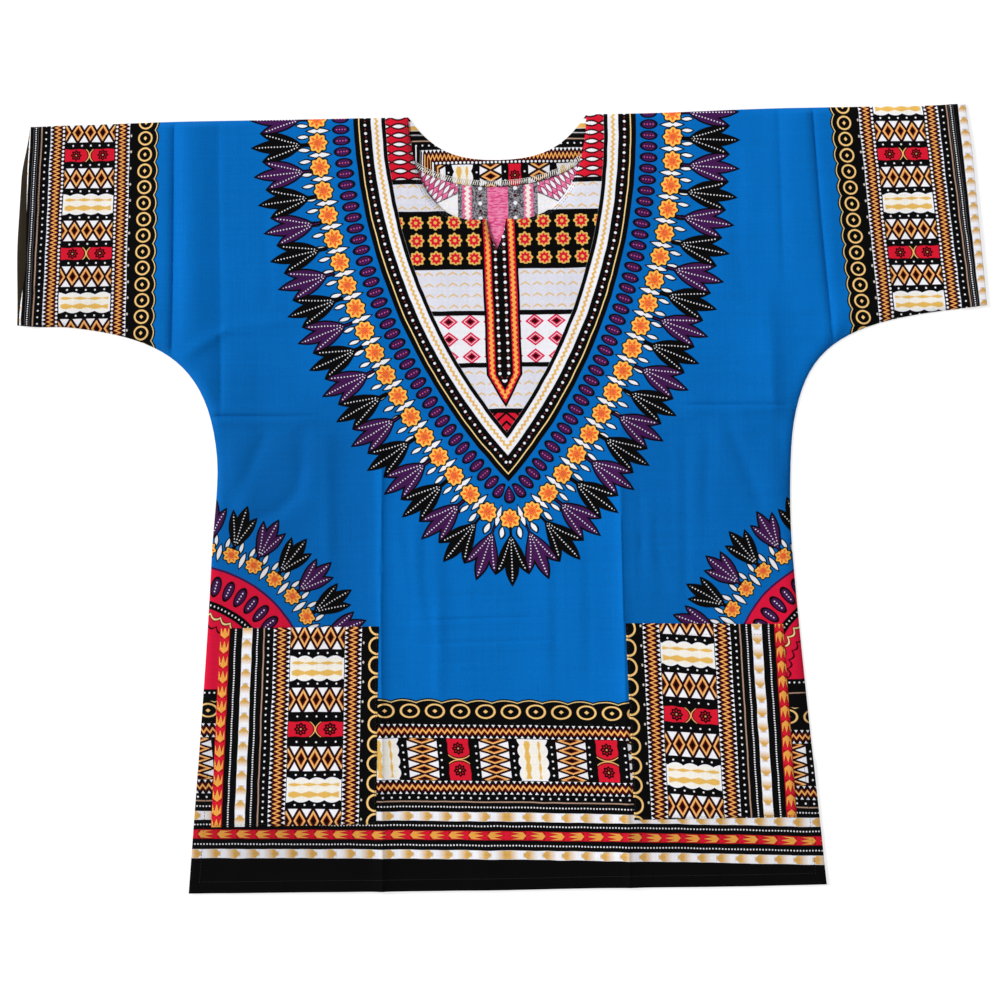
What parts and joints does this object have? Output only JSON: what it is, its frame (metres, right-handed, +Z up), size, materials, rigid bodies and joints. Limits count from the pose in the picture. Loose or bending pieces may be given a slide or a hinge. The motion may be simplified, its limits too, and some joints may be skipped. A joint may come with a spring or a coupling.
{
  "type": "dashiki shirt laid flat",
  "caption": "Loose cotton dashiki shirt laid flat on its back, with short kimono sleeves, a round slit neck, patch pockets and a bright border print.",
  "frame": {"origin": "middle of the outline, on the surface that the shirt lies on", "axes": "+X across the shirt from the wearer's right sleeve to the left one, +Y from the hem to the neck, +Z up out of the front"},
  "size_m": [0.972, 0.774, 0.0061],
  "materials": {
    "shirt_cloth": "smooth printed cotton",
    "pocket_cloth": "smooth printed cotton",
    "facing_cloth": "smooth printed cotton"
  },
  "bodies": {
    "root": {"back": "shirt_cloth", "front": "shirt_cloth", "back_neck_facing": "facing_cloth", "pocket_left": "pocket_cloth", "pocket_right": "pocket_cloth"}
  },
  "joints": []
}
